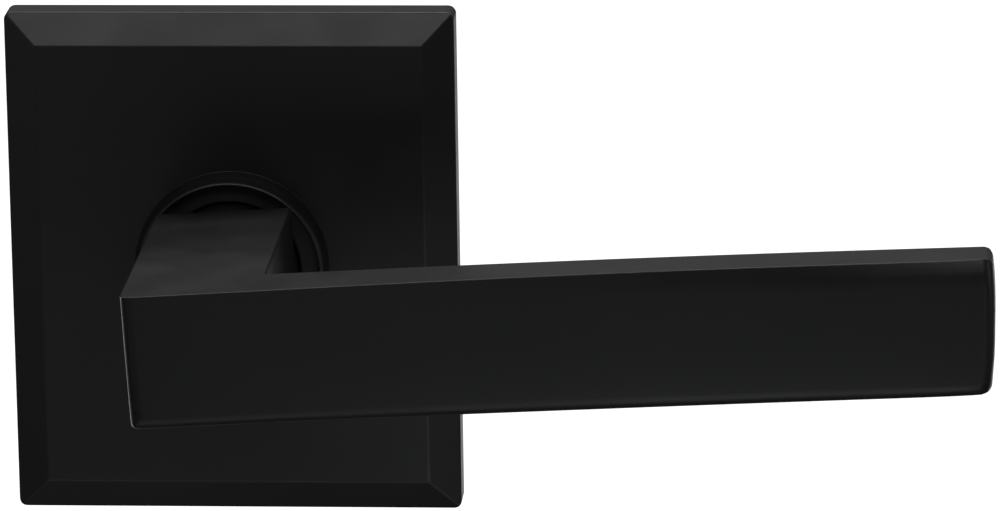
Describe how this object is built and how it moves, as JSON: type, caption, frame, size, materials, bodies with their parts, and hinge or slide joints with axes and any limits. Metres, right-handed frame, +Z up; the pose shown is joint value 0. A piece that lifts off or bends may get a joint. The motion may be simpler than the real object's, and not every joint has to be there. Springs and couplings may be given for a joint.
{
  "type": "door lever handle",
  "caption": "Sprung flat-bar door lever on a bevelled rectangular rose with a raised round collar, with square spindle and through bolts behind.",
  "frame": {"origin": "where the spindle's axis meets the door's face", "axes": "+X towards the lever's free end, +Y into the door along the spindle, +Z up"},
  "size_m": [0.1467, 0.1048, 0.0762],
  "materials": {
    "black_coat": "satin black powder coat",
    "black_acetal": "moulded black acetal",
    "white_acetal": "moulded natural acetal",
    "plain_steel": "turned plain steel",
    "zinc_steel": "bright zinc plate",
    "bolt_steel": "zinc plate",
    "screw_steel": "black oxide",
    "spring_steel": "oiled spring steel"
  },
  "bodies": {
    "rose": {"rose_cover": "black_coat", "collar_bush": "black_acetal", "thrust_washer": "plain_steel", "mounting_plate": "zinc_steel", "rose_set_screw": "screw_steel", "spring_case": "zinc_steel", "case_bush": "white_acetal", "return_spring": "spring_steel", "through_bolt_left": "bolt_steel", "through_bolt_right": "bolt_steel", "bolt_washer_left": "spring_steel", "bolt_washer_right": "spring_steel", "case_screw_1": "bolt_steel", "case_screw_2": "bolt_steel", "case_screw_3": "bolt_steel", "stop_pin_1": "plain_steel", "stop_pin_2": "plain_steel"},
    "lever": {"lever_handle": "black_coat", "spindle_set_screw": "screw_steel", "shank_circlip": "spring_steel", "spindle": "zinc_steel", "drive_hub": "plain_steel"}
  },
  "joints": [
    {"name": "lever_turn", "type": "hinge", "parent": "rose", "child": "lever", "pos_m": [0, 0, 0], "axis": [0, 1, 0], "range_deg": [0, 45], "stiffness_Nm_per_rad": 1.2, "springref_deg": -22.92, "deforming": ["return_spring"]}
  ]
}
